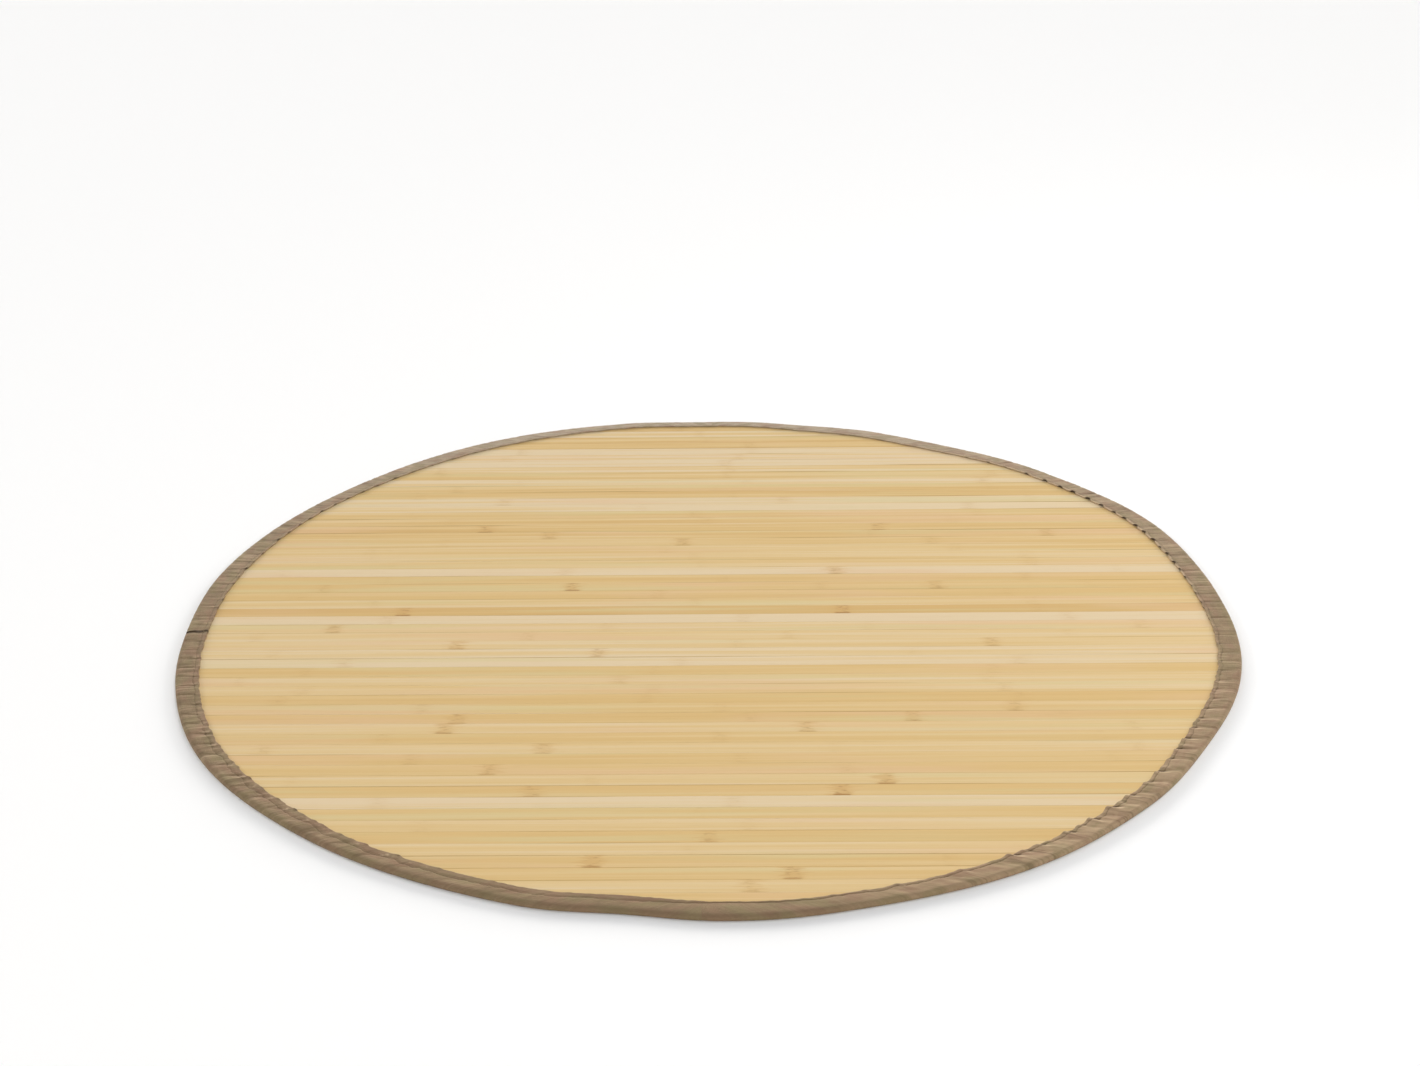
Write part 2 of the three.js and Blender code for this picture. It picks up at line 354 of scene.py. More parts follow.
rng = np.random.default_rng(58)
lines = [slat_line(node, rng) for node in SLATS]
counts = [len(line["x"]) for line in lines]
columns = {name: np.concatenate([line[name] for line in lines]) for name in lines[0]}
line_height = (SLAT_BASE + SLAT_TOP) / 2
starts = np.cumsum([0] + counts[:-1])
line_edges = [(s + i, s + i + 1) for s, n in zip(starts, counts) for i in range(n - 1)]
line_points = np.column_stack([columns["x"], columns["middle"], np.full(sum(counts), line_height)])
line_mesh = bpy.data.meshes.new("slat_lines")
line_mesh.from_pydata(line_points.tolist(), line_edges, [])
for name, values in columns.items():
    if name != "x":
        line_mesh.attributes.new(name, "FLOAT", "POINT").data.foreach_set("value", values)
slats = put("slats", line_mesh)
knuckle_count = int((columns["from_knuckle"] < 0.1 * MM).sum())
print("slat lines:", len(lines), "with", sum(counts), "points and", knuckle_count, "knuckles")

# %% [markdown]
# ## The bamboo's finish
# Planed bamboo is pale straw to honey. Its fibres run the whole length of the slat, so every
# pattern is a noise stretched many times along X. Three scales lie over each other: broad streaks
# of tone, thin streaks, and the short dark dashes of single fibres. The streaks are stronger
# towards the back of the rug, as in the photograph. A knuckle tints the slat with a ragged warm
# band and a few darker blots, and a strong one has a short dark dash at the slat's front side. Dust
# and lacquer gather at the long edges, which draws the joints between slats in places. Along other
# stretches the long edges are painted pale, as a painted highlight.
#
# Everything is laid out in object coordinates, with the slat's row as the third one, so no two
# slats match.

# %% Make the bamboo
PALE = seen(229, 206, 168)
SAND = seen(227, 198, 146)
HONEY = seen(222, 188, 128)
DEEP = seen(215, 177, 115)
PEACH = seen(228, 191, 149)
STRAW = seen(218, 202, 151)
KNUCKLE_TINT = seen(208, 165, 104)
KNUCKLE_DARK = seen(166, 121, 66)
FIBRE_DARK = seen(196, 160, 102)
JOINT_STAIN = seen(182, 142, 78)
JOINT_HIGHLIGHT = seen(234, 214, 176)
FRAY = 45 * MM


def make_bamboo():
    material, shader, bench = new_material("planed_bamboo", Roughness=0.5, Specular_IOR_Level=0.3)
    x, y, _ = bench.place()
    row = bench.attribute("row")
    across = bench.attribute("across")

    def streaks(per_metre_x, per_metre_y, seed, detail=2.0):
        along = bench.times(x, per_metre_x)
        over = bench.times(y, per_metre_y)
        turned = bench.math("MULTIPLY_ADD", row, 3.7, seed)
        return bench.noise(along, over, turned, detail)

    broad = streaks(1.6, 150, 1.0)
    thin = streaks(6, 900, 5.0, 3.0)
    fibres = streaks(42, 3600, 9.0)
    peach = streaks(3, 25, 13.0)
    straw = streaks(2.2, 60, 17.0)

    # The slat's own tone, moved by the streaks, picks one of four colours
    streaky = bench.ramp(y, 0.05, 0.22, 0.85, 1.7)
    broad_drift = bench.ramp(broad, 0.28, 0.72, -0.22, 0.22)
    drift = bench.math("ADD", broad_drift, bench.ramp(thin, 0.3, 0.7, -0.09, 0.09))
    tone = bench.math("MULTIPLY_ADD", drift, streaky, bench.attribute("tone"))
    base = bench.mix(bench.ramp(tone, -0.05, 0.38), PALE, SAND)
    base = bench.mix(bench.ramp(tone, 0.28, 0.7), base, HONEY)
    base = bench.mix(bench.ramp(tone, 0.65, 1.15), base, DEEP)
    base = bench.mix(bench.ramp(peach, 0.52, 0.72, 0.0, 0.52), base, PEACH)
    base = bench.mix(bench.ramp(straw, 0.53, 0.73, 0.0, 0.52), base, STRAW)
    base = bench.mix(bench.ramp(fibres, 0.6, 0.76, 0.0, 0.34), base, FIBRE_DARK)

    # A knuckle: the ragged band, the blots in it, and the dash at the slat's front side
    near = bench.attribute("from_knuckle")
    strength = bench.attribute("knuckle")
    frayed = bench.math("SUBTRACT", streaks(50, 700, 21.0), 0.5)
    zone = bench.math("MULTIPLY_ADD", frayed, FRAY, near)
    band = bench.times(bench.ramp(zone, 2 * MM, 12 * MM, 0.58, 0.0), strength)
    base = bench.mix(band, base, KNUCKLE_TINT)
    spots = bench.ramp(streaks(130, 380, 25.0), 0.48, 0.66)
    blots = bench.times(bench.ramp(near, 2 * MM, 8 * MM, 0.5, 0.0), spots)
    base = bench.mix(bench.times(blots, strength), base, KNUCKLE_DARK)
    half = SLAT_WIDTH / 2
    strong_only = bench.math("POWER", strength, 2.5)
    dash = bench.times(bench.ramp(near, 5 * MM, 9 * MM, 0.85, 0.0), strong_only)
    front_side = bench.ramp(across, 0.6 * MM - half, 3.4 * MM - half, 1.0, 0.0)
    base = bench.mix(bench.times(dash, front_side), base, KNUCKLE_DARK)

    # The long edges: stained along some stretches of a joint, with a painted highlight along others
    edge = bench.ramp(bench.math("ABSOLUTE", across), half - 1.0 * MM, half - 0.3 * MM)
    side = bench.math("ADD", row, bench.math("GREATER_THAN", across, 0.0))
    joint = bench.noise(bench.times(x, 3.5), 7.0, bench.times(side, 2.3), 1.0)
    by_knuckle = bench.ramp(near, 4 * MM, 12 * MM, 0.8, 0.0)
    chipped = bench.times(by_knuckle, bench.times(strength, 0.8))
    stain = bench.math("MAXIMUM", bench.ramp(joint, 0.5, 0.68, 0.0, 0.52), chipped)
    stain = bench.times(stain, streaky)
    base = bench.mix(bench.times(edge, stain), base, JOINT_STAIN)
    # Painted highlight: a pale line along the slat's long edge where no stain lies
    joint_highlight = bench.times(edge, bench.ramp(joint, 0.3, 0.46, 0.45, 0.0))
    base = bench.mix(joint_highlight, base, JOINT_HIGHLIGHT)
    bench.link(base, shader.inputs["Base Color"])

    rough = bench.ramp(thin, 0.3, 0.7, 0.46, 0.58)
    bench.link(rough, shader.inputs["Roughness"])
    fibre_relief = bench.times(fibres, 0.4)
    relief = bench.math("ADD", bench.times(thin, 0.6), fibre_relief)
    bump = bench.add("ShaderNodeBump", {"Strength": 0.3, "Distance": 0.1 * MM, "Height": relief})
    bench.link(bump, shader.inputs["Normal"])
    return material


bamboo = make_bamboo()
print("bamboo:", len(bamboo.node_tree.nodes), "nodes")

# %% [markdown]
# The sweep itself. The section is a rectangle with rounded corners, cut into shorter steps so that
# its face can be crowned. After the sweep one Set Position node does four things: it leans the
# ends, makes each slat as wide as its solid, lowers the face from the crown towards its edges, and
# lifts the knuckles.

# %% Sweep the slats
SLAT_CROWN = 0.04 * MM
EASED_EDGE = 0.1 * MM
FLAT_FACE = 0.98


def tree_with(name, inputs):
    """An empty Geometry Nodes tree with a geometry input and output and the named inputs."""
    tree = bpy.data.node_groups.new(name, "GeometryNodeTree")
    tree.interface.new_socket(name="Geometry", in_out="INPUT", socket_type="NodeSocketGeometry")
    tree.interface.new_socket(name="Geometry", in_out="OUTPUT", socket_type="NodeSocketGeometry")
    for label, kind in inputs.items():
        tree.interface.new_socket(name=label, in_out="INPUT", socket_type="NodeSocket" + kind)
    return tree, tree.nodes.new("NodeGroupInput").outputs, Bench(tree)


def finish_tree(bench, geometry, material):
    """Every tree ends in Realize Instances and Set Material: only plain faces are exported."""
    plain = bench.geometry("RealizeInstances", {0: geometry})
    done = bench.geometry("SetMaterial", {0: plain, "Material": material})
    bench.link(done, bench.tree.nodes.new("NodeGroupOutput").inputs[0])


def field(bench, name):
    return bench.geometry("InputNamedAttribute", {"Name": name}, data_type="FLOAT")


def sweep_slats():
    tree, given, bench = tree_with("slat_sweep", {
        "Slat Width": "Float", "Slat Thickness": "Float", "Eased Edge": "Float", "Crown": "Float",
        "Material": "Material",
    })
    rail = bench.geometry("MeshToCurve", {0: given["Geometry"]})
    rail = bench.geometry("SetCurveNormal", {0: rail}, mode="Z_UP")
    section = bench.geometry("CurvePrimitiveQuadrilateral", {
        "Width": given["Slat Width"], "Height": given["Slat Thickness"]})
    section = bench.geometry("FilletCurve", {
        0: section, "Count": 2, "Radius": given["Eased Edge"], "Limit Radius": True}, mode="POLY")
    section = bench.geometry("SubdivideCurve", {0: section, "Cuts": 1})
    swept = bench.geometry("CurveToMesh", {
        "Curve": rail, "Profile Curve": section, "Fill Caps": True})
    position = bench.geometry("InputPosition")
    at = bench.add("ShaderNodeSeparateXYZ", {0: position}).node.outputs
    off = bench.math("SUBTRACT", at[1], field(bench, "middle"))
    swept = bench.geometry("StoreNamedAttribute", {
        0: swept, "Name": "across", "Value": off}, data_type="FLOAT", domain="POINT")
    across = field(bench, "across")
    share = bench.math("DIVIDE", across, bench.math("DIVIDE", given["Slat Width"], 2))
    crown = bench.times(given["Crown"], bench.times(share, share))
    top = bench.math("GREATER_THAN", at[2], line_height)
    rise = bench.times(top, bench.math("SUBTRACT", field(bench, "lift"), crown))
    wider = bench.times(across, bench.math("SUBTRACT", field(bench, "spread"), 1))
    lean = bench.times(bench.math("ADD", across, wider), field(bench, "lean"))
    swept = bench.geometry("SetPosition", {
        0: swept, "Offset": bench.combine(lean, wider, rise)})
    facing = bench.add("ShaderNodeSeparateXYZ", {0: bench.geometry("InputNormal")}, out=2)
    rounded = bench.math("LESS_THAN", bench.math("ABSOLUTE", facing), FLAT_FACE)
    swept = bench.geometry("SetShadeSmooth", {0: swept, "Shade Smooth": rounded})
    finish_tree(bench, swept, given["Material"])
    return tree


def set_inputs(modifier, **values):
    """Modifier inputs are set by their sockets' identifiers."""
    for item in modifier.node_group.interface.items_tree:
        label = item.name.replace(" ", "_").lower()
        if item.in_out == "INPUT" and label in values:
            modifier[item.identifier] = values[label]


def bake_down(piece, modifier_name):
    """Turns what the modifier makes into the piece's own plain mesh, and removes the modifier."""
    evaluated = piece.evaluated_get(bpy.context.evaluated_depsgraph_get())
    made = bpy.data.meshes.new_from_object(evaluated)
    piece.modifiers.remove(piece.modifiers[modifier_name])
    piece.data = made
    made.name = piece.name
    made.calc_loop_triangles()
    print(piece.name + ":", len(made.vertices), "points,", len(made.loop_triangles), "triangles")


sweep = slats.modifiers.new("sweep", "NODES")
sweep.node_group = sweep_slats()
set_inputs(sweep, slat_width=SLAT_WIDTH, slat_thickness=SLAT_TOP - SLAT_BASE, eased_edge=EASED_EDGE,
           crown=SLAT_CROWN, material=bamboo)
bake_down(slats, "sweep")

# %% [markdown]
# ## The tape: one folded sheet
# The edge is finished with a strip of woven tape about four and a half centimetres wide, folded
# round so that half lies on top and half underneath. Its raw edge is turned in as a narrow hem and
# sewn down. A sheet like this could be draped by a cloth simulation, but a sewn fold hardly moves:
# what shapes it is the pull of the thread and the slats under it. So it is built as a section, from
# the hem over the top, round the nose and back underneath, at two thousand stations round the rug,
# and rules move the section in and out and up and down.
#
# The rules, as seen in the photograph:
# - The band on top is narrower than its solid, most of all at the back.
# - Over each joint between slats the tape sinks a little, in a short groove parallel to the slats.
# - At the front right the joints gather the hem into small teeth, each with a slanting crease.
# - At the back right the hem arches up over the joints, and the openings are painted dark as
#   shadow, so they look like dark dots.
# - The hem's width changes round the rug, and at the middle of the front it dies away.
# - Along the front the tape is rolled over the edge more fully, and its nose is painted darker
#   there, as painted shade.
# - The cloth is painted lighter and greyer at the back as painted sheen, is warmer at the front
#   right and has a pale lip at the right.
#
# Each rule's strength is a short list of (angle in degrees, value). The angles run from +X through
# the back, so 90 is the back and 270 the front. Names that end in MM hold millimetres, and the
# others a strength of about 0 to 1.

# %% Rules for the tape
def ring(*rows):
    """A value that changes round the rug, from rows of (angle in degrees, value)."""
    angles, values = zip(*rows)
    return lambda degrees: np.interp(degrees, angles, values, period=360)


TRIM_MM = ring(
    (0, 0.8), (30, 1.5), (57, 4.8), (75, 6.4), (90, 7.6), (105, 7), (125, 5.6), (157, 3.4),
    (180, 1.2), (203, 1.7), (228, 1.2), (251, 3.4), (262, 3.3), (272, 2.6), (283, 1.6), (300, 1.8),
    (310, 1.3), (332, 1.1), (350, 0.6))
HEM_MM = ring(
    (0, 3.4), (60, 3), (120, 3), (160, 3.6), (190, 4.2), (225, 7.5), (250, 7), (266, 6),
    (271, 1.6), (285, 3.2), (330, 3.6))
HEM_DARK = ring(
    (0, 0.1), (180, 0.1), (205, 0.2), (235, 0.35), (255, 0.55), (267, 0.65), (273, 0.1),
    (300, 0.15))
GATHER = ring(
    (0, 0.12), (30, 0.12), (60, 0.1), (90, 0), (130, 0.2), (180, 0.2), (200, 0.3), (220, 0.45),
    (245, 0.4), (262, 0.1), (276, 0.12), (290, 0.4), (300, 0.85), (307, 1.05), (315, 1.05),
    (324, 0.65), (345, 0.35))
GROOVE = ring(
    (0, 1), (40, 1), (70, 0.4), (90, 0.1), (115, 0.5), (140, 1), (180, 0.9), (215, 1),
    (250, 0.3), (270, 0), (290, 0.2), (312, 0.4), (328, 0.6), (345, 0.75))
WRINKLE = ring(
    (0, 0.8), (40, 1), (70, 0.6), (90, 0.3), (120, 0.7), (150, 1), (215, 1), (245, 0.7),
    (262, 0.25), (282, 0.3), (300, 0.9))
ARCH = ring(
    (0, 0.3), (10, 0.8), (16, 1), (34, 1), (44, 0.5), (54, 0.12), (120, 0.15), (150, 0.45),
    (168, 0.45), (185, 0.1), (350, 0.2))
SLANT = ring((0, 1), (215, 0.6), (290, 0.5), (310, 0.6), (335, 1))
PALE_LIP = ring(
    (0, 0.4), (15, 1), (50, 0.9), (70, 0.4), (85, 0.2), (150, 0.5), (185, 0.2), (345, 0.2))
ROLL_MM = ring(
    (0, 4.2), (90, 4), (200, 4.5), (240, 5.5), (262, 7.5), (278, 6), (292, 4.2), (310, 3.6))
RUCK_MM = ring(
    (0, 0.35), (90, 0.1), (176, 0.35), (200, 0.6), (228, 0.75), (245, 0.3), (270, 0), (286, 0.35),
    (316, 0.9), (345, 0.6))
LONG_FOLD_MM = ring((246, 0), (258, 0.35), (268, 0.1), (274, 0.15), (282, 0.25), (292, 0))
# How much painted sheen lightens the tape at the back
BACK_SHEEN = ring(
    (0, 0), (40, 0.35), (70, 0.9), (110, 0.9), (135, 0.5), (160, 0.15), (185, 0), (350, 0))
WARM = ring(
    (0, 0.3), (40, 0.5), (80, 0.3), (120, 0.25), (150, 0.35), (175, 0.25), (195, 0.1), (220, 0.3),
    (245, 0.45), (262, 0.3), (278, 0.3), (288, 0.7), (305, 0.95), (325, 0.75), (345, 0.4))
# How much painted shade darkens the tape's nose round the rug
NOSE_SHADE = ring(
    (0, 0.2), (180, 0.3), (220, 0.6), (250, 0.7), (270, 0.6), (285, 0.35), (300, 0.05), (340, 0.05))

# The tape's own sizes: angles in degrees, lengths in millimetres
STATIONS = 1960
SEAM_RADIUS = 476
BUTT_JOINT = 183.8
BUTT_GAP = 0.16
RIM_SET_BACK = 0.3
NOSE_MIDDLE = 1.7
LOWER_NOSE = 1.8
LEG = (7, 13, 20)
SHEET = 1.0
INNER_WALL = 1.3
CEILING = 4.05
LIP_FLOOR = 3.86
TAPE_LEVEL = 5.02
TOOTH_MM = 3.0
TOOTH_RISE = 12
TOOTH_FALL = 3.5


def wobble(degrees, length, seed, parts=9):
    """Smooth random waves round the rug, mostly between -1 and 1, of about the given wavelength."""
    chance = np.random.default_rng(seed)
    turns = np.round(2 * math.pi * cad_high.x / length * chance.uniform(0.6, 1.5, parts))
    starts = chance.uniform(0, 2 * math.pi, parts)
    angle = np.radians(degrees)[..., None]
    return np.cos(turns * angle + starts).sum(axis=-1) / math.sqrt(parts)


def turned_from(place):
    """How far each station is from a place round the rug, in degrees from -180 to 180."""
    return (station - place + 180) % 360 - 180


def hump(distance, half):
    return np.exp(-((distance / half) ** 2))


def soft_step(value, low, high):
    share = np.clip((value - low) / (high - low), 0, 1)
    return share * share * (3 - 2 * share)


# %% [markdown]
# The gathers are a table that a rule fills in: one at nearly every joint, and now and then a
# smaller one between. Each has a place round the rug, a size, the slant of its crease (how far it
# runs sideways for each millimetre outwards), how much of the tape's width the crease crosses, and
# how far the hem arches up.

# %% Place the gathers
pitch = PITCH / MM
REACHED = np.arange(-27, 27.5, 0.5)
BETWEEN_JOINTS = 0.55
STEEPEST = 1.4


def place_gathers():
    chance = np.random.default_rng(17)
    rows = []
    for right_side in (True, False):
        for place in REACHED:
            at_joint = place == round(place)
            if not at_joint and chance.random() > BETWEEN_JOINTS:
                continue
            height = (place + chance.normal(0, 0.07)) * pitch
            angle = math.degrees(math.asin(height / SEAM_RADIUS))
            angle = angle % 360 if right_side else 180 - angle
            size = GATHER(angle) * chance.uniform(0.45, 1.15) * (1 if at_joint else 0.6)
            steep = SLANT(angle) * math.tan(math.radians(angle))
            slant = -steep * chance.uniform(0.7, 1.25) + chance.normal(0, 0.12)
            slant = np.clip(slant, -STEEPEST, STEEPEST)
            arch = ARCH(angle) * chance.uniform(0.5, 1.3) * at_joint
            rows.append((angle, size, slant, chance.uniform(0.4, 0.9), arch))
    return np.array(rows).T


gather_at, gather_size, gather_slant, gather_reach, gather_arch = place_gathers()
print("gathers:", len(gather_at), "of which strong", int((gather_size > 0.6).sum()))

# %% [markdown]
# The section is worked out in millimetres for all stations at once: `inward` is the distance in
# from the rug's edge and `high` the height over the floor. The outer skin runs from the lip of the
# hem to the end of the lower leg, and the inner skin runs back under it, a tape's thickness away,
# so the sheet is a closed body. The band's own width is the narrowest that its solid has nearby,
# and the teeth are added to that.

# %% Lay out the stations
half_gap = BUTT_GAP / 2
at_ends = np.array([0.0, 0.07, 0.13, 0.2])
station = np.linspace(half_gap + 0.3, 360 - half_gap - 0.3, STATIONS - 2 * len(at_ends))
station = np.concatenate([half_gap + at_ends, station, 360 - half_gap - at_ends[::-1]])
station = (BUTT_JOINT + station)[:, None]
radians = np.radians(station)
edge = edge_radius(station) / MM
from_butt = np.abs(turned_from(BUTT_JOINT))

nearby = station + np.linspace(-1.6, 1.6, 17)
solid_width = (edge_radius(nearby) - rim_radius(nearby)) / MM
band_width = solid_width.min(axis=1, keepdims=True) - RIM_SET_BACK - TRIM_MM(station)

# A tooth rises slowly on one side of its gather and falls steeply on the other
from_gather = turned_from(gather_at) * math.pi / 180 * SEAM_RADIUS
rising = np.clip(1 + (from_gather + 1.0) / TOOTH_RISE, 0, 1) ** 1.5
tooth = np.where(from_gather < -1.0, rising, 1 - soft_step(from_gather, -1.0, TOOTH_FALL))
width = band_width + TOOTH_MM * (tooth * gather_size).sum(axis=1, keepdims=True)
width = width + 0.3 * wobble(station, 0.035, 3) + 0.18 * wobble(station, 0.012, 8)
arch = (hump(from_gather, 3.0) * gather_arch).sum(axis=1, keepdims=True)
width = width - 0.7 * arch
uneven = 1 + 0.14 * wobble(station, 0.05, 4) + 0.05 * wobble(station, 0.015, 9)
hem = HEM_MM(station) * uneven
seam_at = width - hem
roll = ROLL_MM(station)
wrinkle_slant = np.clip(-0.5 * np.tan(radians), -1.2, 1.2)
print("band:", round(float(width.min()), 1), "to", round(float(width.max()), 1), "mm wide")

# %% [markdown]
# The band's relief is a sum of small shapes: swells between the joints, long folds, wrinkles,
# grooves over the joints, a crease and a ridge for each gather, the arches, and the step down from
# the hem at its seam. It also gives how much painted shade the material puts in each crease, and
# how much painted highlight on each ridge.

# %% Shape the band
SWELL_SHARE = 0.6
JOINT_DIP = 0.34
JOINT_SWELL = 0.18
CREASE_DEEP = 0.9
RIDGE_HIGH = 0.7
ARCH_HIGH = 1.4
HEM_HIGH = 0.22
SEAM_DEEP = 0.28
WEAKEST_GATHER = 0.05
WEAKEST_HOOK = 0.4


def on_band(inward):
    """What the tape's top does at a distance in from the edge: its height, painted crease shade and
    painted ridge highlight.
    """
    outwards = width - inward
    share = np.clip(outwards / width, 0, 1)
    y = (edge - inward) * np.sin(radians)
    over = (y / pitch - np.round(y / pitch)) * pitch
    groove = GROOVE(station)

    swell = RUCK_MM(station) * (1 - hump(over, 3.2)) * soft_step(share, -0.2, 0.25) * SWELL_SHARE
    high = TAPE_LEVEL + swell + LONG_FOLD_MM(station) * hump(share - 0.45, 0.22)
    line = station - np.degrees(wrinkle_slant * outwards / SEAM_RADIUS)
    wrinkles = 0.10 * wobble(line, 0.011, 6) + 0.07 * wobble(line, 0.005, 7)
    high = high + 0.10 * wobble(station, 0.06, 5) + WRINKLE(station) * wrinkles

    joint_groove = groove * hump(over, 1.0) * soft_step(share, 0.02, 0.2) * (1 - 0.4 * share)
    high = high - JOINT_DIP * joint_groove + JOINT_SWELL * groove * hump(over - 2.4, 1.3)
    # Painted shade in the groove over each joint
    crease = 0.45 * joint_groove
    lip = PALE_LIP(station) * (1 - np.clip(arch, 0, 1))
    # Painted highlight beside each groove, and the pale lip of the hem
    ridge_highlight = 0.4 * groove * hump(over - 2.2, 1.2) + 1.1 * lip * hump(outwards, 2.0)

    # Each crease starts at the hem, hooks sideways and then runs outwards at its own slant
    run = outwards + 2.5 * (1 - np.exp(-np.clip(outwards, 0, None) / 3))
    for place, size, slant, reach in zip(gather_at, gather_size, gather_slant, gather_reach):
        if size < WEAKEST_GATHER:
            continue
        off = turned_from(place) * math.pi / 180 * SEAM_RADIUS - slant * run
        strength = size * (1 - soft_step(share, 0.1, reach))
        hook = size * hump(share, 0.2) * (size > WEAKEST_HOOK)
        fold, beside = hump(off - 0.8, 1.4), hump(off + 2.8, 2.2)
        high = high - strength * (CREASE_DEEP * fold - RIDGE_HIGH * beside)
        # Painted shade along each crease and its hook, and painted highlight on the ridge beside it
        crease = crease + 0.6 * strength * hump(off - 0.8, 1.3) + 0.7 * hook * hump(off - 1.2, 2.0)
        ridge_highlight = ridge_highlight + 2.4 * strength * hump(off + 2.8, 1.9) * soft_step(share, 0.05, 0.2)

    high = high + ARCH_HIGH * arch * hump(share, 0.14)
    # Painted shadow in the openings under the arched hem
    crease = crease + 1.8 * arch * hump(outwards, 1.8)
    in_hem = soft_step(inward, seam_at - 0.3, seam_at + 0.5)
    high = high + HEM_HIGH * in_hem - SEAM_DEEP * hump(inward - seam_at, 0.55)
    # Painted shade along the step at the seam
    return high, crease + 0.35 * hump(inward - seam_at, 0.5), ridge_highlight


# %% [markdown]
# The section follows part by part: the lip of the hem, the band, the nose as two quarter rounds,
# the lower leg, and the inner skin back to the lip.

# %% Lay out the section
hem_inner = seam_at + (hem - 0.9) * np.array([1.0, 0.5, 0.18])
seam_places = seam_at + np.array([0.0, -0.7, -1.5])
band = roll + (seam_at - 1.5 - roll) * np.linspace(1, 0, 10)[None, 1:]
top_inward = np.hstack([width, hem_inner, seam_places, band])
top_high, top_crease_shade, top_ridge_highlight = on_band(top_inward)
lip_inward = width + np.array([-0.25, 0.05, -0.05]) - arch * np.array([1.2, 1.0, 0.2])
lip_high = np.hstack([
    LIP_FLOOR + 0.2 * arch, LIP_FLOOR + 0.5 + 0.8 * arch, top_high[:, :1] - 0.3])
top_inward[:, :1] -= 0.35

shoulder = top_high[:, -1:]
turn_up = np.radians(np.linspace(90, 0, 7))[None, 1:]
upper_inward = roll * (1 - np.cos(turn_up) ** 0.8)
upper_high = NOSE_MIDDLE + (shoulder - NOSE_MIDDLE) * np.sin(turn_up) ** 0.8
ones = np.ones_like(station)
turn_down = np.radians(np.array([30, 60, 90]))[None, :]
lower_inward = ones * LOWER_NOSE * (1 - np.cos(turn_down) ** 0.8)
lower_high = ones * NOSE_MIDDLE * (1 - np.sin(turn_down) ** 0.8)

outer_inward = np.hstack([lip_inward, top_inward, upper_inward, lower_inward, ones * LEG])
outer_high = np.hstack([lip_high, top_high, upper_high, lower_high, ones * [0, 0, 0]])
inner_inward = np.hstack([
    ones * [LEG[-1], 12, 4, INNER_WALL, INNER_WALL, INNER_WALL, 6], width * 0.6, width - 1.5])
inner_high = np.hstack([
    ones * [SHEET, SHEET, SHEET, SHEET, 2.4, CEILING, CEILING, CEILING],
    CEILING - 0.1 + 0.3 * arch])
inward = np.hstack([outer_inward, inner_inward])
high = np.hstack([outer_high, inner_high])
lip_count, outer_count = lip_inward.shape[1], outer_inward.shape[1]
print("tape: stations and points", inward.shape, "highest", round(float(high.max()), 2), "mm")

# %% [markdown]
# Each point also keeps what its material will want: where it lies on the flat tape, in metres along
# and down it, and how much painted shade it takes in a crease or painted highlight on a ridge.

# %% Make the tape's mesh
BUTT_WAVE = 0.06


def closed_sheet(name, inward, high, columns):
    """One sheet from a table of points: a row for each station, closed round the section."""
    rows, around = inward.shape
    radius = (edge - inward) * MM
    wavy = BUTT_WAVE * np.sin(inward * 0.6) * hump(from_butt, 0.8)
    angle = np.radians(station + wavy)
    points = np.stack([radius * np.cos(angle), radius * np.sin(angle), high * MM], axis=-1)
    first = np.arange(rows - 1)[:, None] * around
    here = np.arange(around)[None, :]
    beside = (here + 1) % around
    corner_rows = [first + here, first + around + here, first + around + beside, first + beside]
    faces = np.stack(corner_rows, axis=-1).reshape(-1, 4).tolist()
    faces.append(list(range(around)))
    faces.append([(rows - 1) * around + i for i in reversed(range(around))])
    mesh = bpy.data.meshes.new(name)
    mesh.from_pydata(points.reshape(-1, 3).tolist(), [], faces)
    for label, values in columns.items():
        column = mesh.attributes.new(label, "FLOAT", "POINT").data
        column.foreach_set("value", np.broadcast_to(values, inward.shape).astype(float).ravel())
    mesh.shade_smooth()
    return put(name, mesh)


def top_column(values):
    """Values for the top's points, spread over the whole section with 0 elsewhere."""
    column = np.zeros_like(inward)
    column[:, lip_count:lip_count + values.shape[1]] = values
    return column


step = np.hypot(np.diff(inward, axis=1), np.diff(high, axis=1))
down_tape = np.hstack([np.zeros_like(station), np.cumsum(step, axis=1)])
# Painted shade in the creases, and painted shadow in the hem's arched openings
crease = top_column(top_crease_shade)
crease[:, :lip_count] = 2.4 * arch * np.array([1.0, 1.0, 0.7])
# Painted shadow in the seam of the butt joint
crease = crease + 2.0 * (1 - soft_step(from_butt, 0.18, 0.26))
# Painted highlight on the ridges, and the hem's pale lip
ridge_highlight = top_column(top_ridge_highlight)
ridge_highlight[:, :lip_count] = PALE_LIP(station) * (1 - np.clip(2 * arch, 0, 1))
is_outer = np.arange(inward.shape[1])[None, :] < outer_count
in_hem = soft_step(inward, seam_at - 0.2, seam_at + 0.4) * (high > 3.7)
# Painted shade on the tape's nose
on_nose = np.clip(1 - inward / (1.2 * roll), 0, 1) * is_outer
tape = closed_sheet("tape", inward, high, {
    "along": (radians * SEAM_RADIUS - wrinkle_slant * (width - inward)) * MM,
    "down": down_tape * MM,
    "crease": crease,
    "ridge_highlight": ridge_highlight,
    "hem": in_hem * HEM_DARK(station),
    "nose_shade": on_nose * NOSE_SHADE(station),
    "wrinkle": WRINKLE(station),
    "back_sheen": BACK_SHEEN(station),
    "warm": WARM(station),
})
print("tape mesh:", len(tape.data.vertices), "points,", len(tape.data.polygons), "faces")

